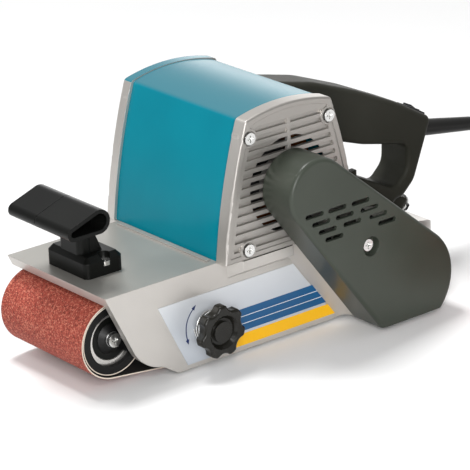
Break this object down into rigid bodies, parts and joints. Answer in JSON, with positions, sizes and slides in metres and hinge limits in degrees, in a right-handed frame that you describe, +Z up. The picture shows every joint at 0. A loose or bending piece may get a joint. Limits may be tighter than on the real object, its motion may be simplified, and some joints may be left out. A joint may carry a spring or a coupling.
{
  "type": "electric belt sander",
  "caption": "Two-handed electric belt sander: transverse motor over a sanding belt on two rollers, drive belt guard, tracking knob, front grip and looped rear handle with switch.",
  "frame": {"origin": "centre of the sanding face, on the plane that the belt rests on", "axes": "+X towards the rear handle, -Y towards the drive belt guard, +Z up"},
  "size_m": [0.5307, 0.2838, 0.1961],
  "materials": {
    "cast_alloy": "satin cast light alloy",
    "teal_paint": "gloss paint",
    "guard_paint": "satin paint",
    "black_plastic": "fine grained",
    "handle_plastic": "fine grained",
    "switch_plastic": "smooth",
    "steel": "ground",
    "bright_screw": "plated",
    "black_steel": "blackened",
    "spring_chrome": "plated",
    "frame_alloy": "cast",
    "rubber": "ground",
    "cord_rubber": "smooth",
    "grit": "abrasive cloth",
    "cork": "pressed cork",
    "graphite": "graphite cloth",
    "copper": "lacquered copper wire",
    "lamination": "stacked sheet",
    "plate_film": "printed film",
    "plug_plastic": "smooth",
    "brass": "turned"
  },
  "bodies": {
    "frame": {"base_casting": "cast_alloy", "inner_frame": "frame_alloy", "frame_bolts": "steel", "graphite_pad": "graphite", "cork_pad": "cork", "sole_plate": "steel", "sanding_belt": "grit", "motor_mantle": "teal_paint", "near_end_cover": "cast_alloy", "far_end_cover": "cast_alloy", "end_cover_screws": "bright_screw", "stator_core": "lamination", "stator_windings": "copper", "motor_bearings": "steel", "drive_belt": "rubber", "belt_guard": "guard_paint", "guard_screw": "bright_screw", "drive_bearings": "steel", "tension_spring": "spring_chrome", "tracking_bush": "brass", "tracking_spring": "spring_chrome", "rating_plate": "plate_film", "front_grip": "black_plastic", "grip_screws": "bright_screw", "handle_near": "handle_plastic", "handle_far": "handle_plastic", "handle_screws": "bright_screw", "handle_washer": "bright_screw", "handle_bolt": "black_steel", "switch_body": "switch_plastic", "strain_relief": "cord_rubber", "cord": "cord_rubber", "cord_coil": "cord_rubber", "cord_tie": "black_plastic", "plug_body": "plug_plastic", "plug_pins": "brass"},
    "motor_rotor": {"motor_shaft": "steel", "rotor_core": "lamination", "cooling_fan": "black_plastic", "motor_pulley": "frame_alloy", "motor_pulley_nut": "steel"},
    "drive_roller": {"drive_shaft": "steel", "drive_roller_core": "frame_alloy", "drive_roller_cover": "rubber", "driven_pulley": "frame_alloy", "driven_pulley_nut": "steel"},
    "slider": {"tension_slider": "steel", "fork_pin": "steel"},
    "fork": {"tracking_fork": "black_steel", "idler_axle": "steel", "hub_screws": "bright_screw"},
    "idler_roller": {"idler_core": "frame_alloy", "idler_tyre": "rubber", "idler_bearings": "steel", "dust_caps": "black_plastic"},
    "knob": {"tracking_knob": "black_plastic", "tracking_screw": "steel"},
    "rocker": {"switch_rocker": "switch_plastic"}
  },
  "joints": [
    {"name": "motor_spin", "type": "hinge", "parent": "frame", "child": "motor_rotor", "pos_m": [0.03, 0, 0.131], "axis": [0, 1, 0], "continuous": true},
    {"name": "drive_spin", "type": "hinge", "parent": "frame", "child": "drive_roller", "pos_m": [0.122, 0, 0.0335], "axis": [0, 1, 0], "continuous": true},
    {"name": "tension_slide", "type": "slide", "parent": "frame", "child": "slider", "axis": [1, 0, 0], "range_m": [0, 0.006], "stiffness_N_per_m": 2000, "springref_m": -0.01, "deforming": ["tension_spring"]},
    {"name": "tracking_tilt", "type": "hinge", "parent": "slider", "child": "fork", "pos_m": [-0.077, 0, 0.038], "axis": [0, 0, 1], "range_deg": [-0.6, 0.6]},
    {"name": "idler_spin", "type": "hinge", "parent": "fork", "child": "idler_roller", "pos_m": [-0.122, 0, 0.038], "axis": [0, 1, 0], "continuous": true},
    {"name": "tracking_turn", "type": "hinge", "parent": "frame", "child": "knob", "pos_m": [-0.0485, -0.085, 0.0345], "axis": [0, 1, 0], "range_deg": [-180, 180]},
    {"name": "switch_turn", "type": "hinge", "parent": "frame", "child": "rocker", "pos_m": [0.21874, -0.006, 0.12615], "axis": [0, 1, 0], "range_deg": [-9, 0]}
  ],
  "couplings": [
    {"joint": "drive_spin", "follows": "motor_spin", "ratio": 0.55556},
    {"joint": "idler_spin", "follows": "motor_spin", "ratio": 0.61263},
    {"joint": "tracking_tilt", "follows": "tracking_turn", "ratio": 0.003333}
  ]
}
